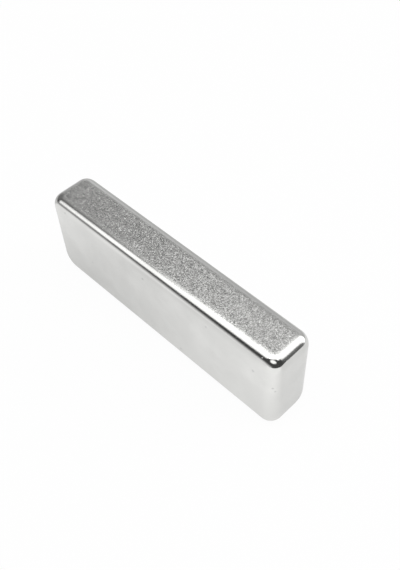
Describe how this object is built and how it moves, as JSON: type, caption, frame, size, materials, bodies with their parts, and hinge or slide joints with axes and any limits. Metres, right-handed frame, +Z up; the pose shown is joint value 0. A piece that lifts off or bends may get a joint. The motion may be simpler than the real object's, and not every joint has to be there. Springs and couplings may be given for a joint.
{
  "type": "block magnet",
  "caption": "Rectangular block magnet with generously rounded edges and bright nickel plating, standing on a long narrow face.",
  "frame": {"origin": "centre of the long narrow face that the block stands on, at the bottom centre of its bounding box", "axes": "+X along the length, +Y through the thickness between the two large faces, which is the usual direction of magnetisation, +Z up, across the height of the large faces"},
  "size_m": [0.06, 0.01, 0.02],
  "materials": {
    "nickel_plate": "bright nickel plating over a tumbled sintered block: smooth on the large faces and ends, fine sparkling grain on the long narrow faces"
  },
  "bodies": {
    "root": {"magnet_block": "nickel_plate"}
  },
  "joints": []
}
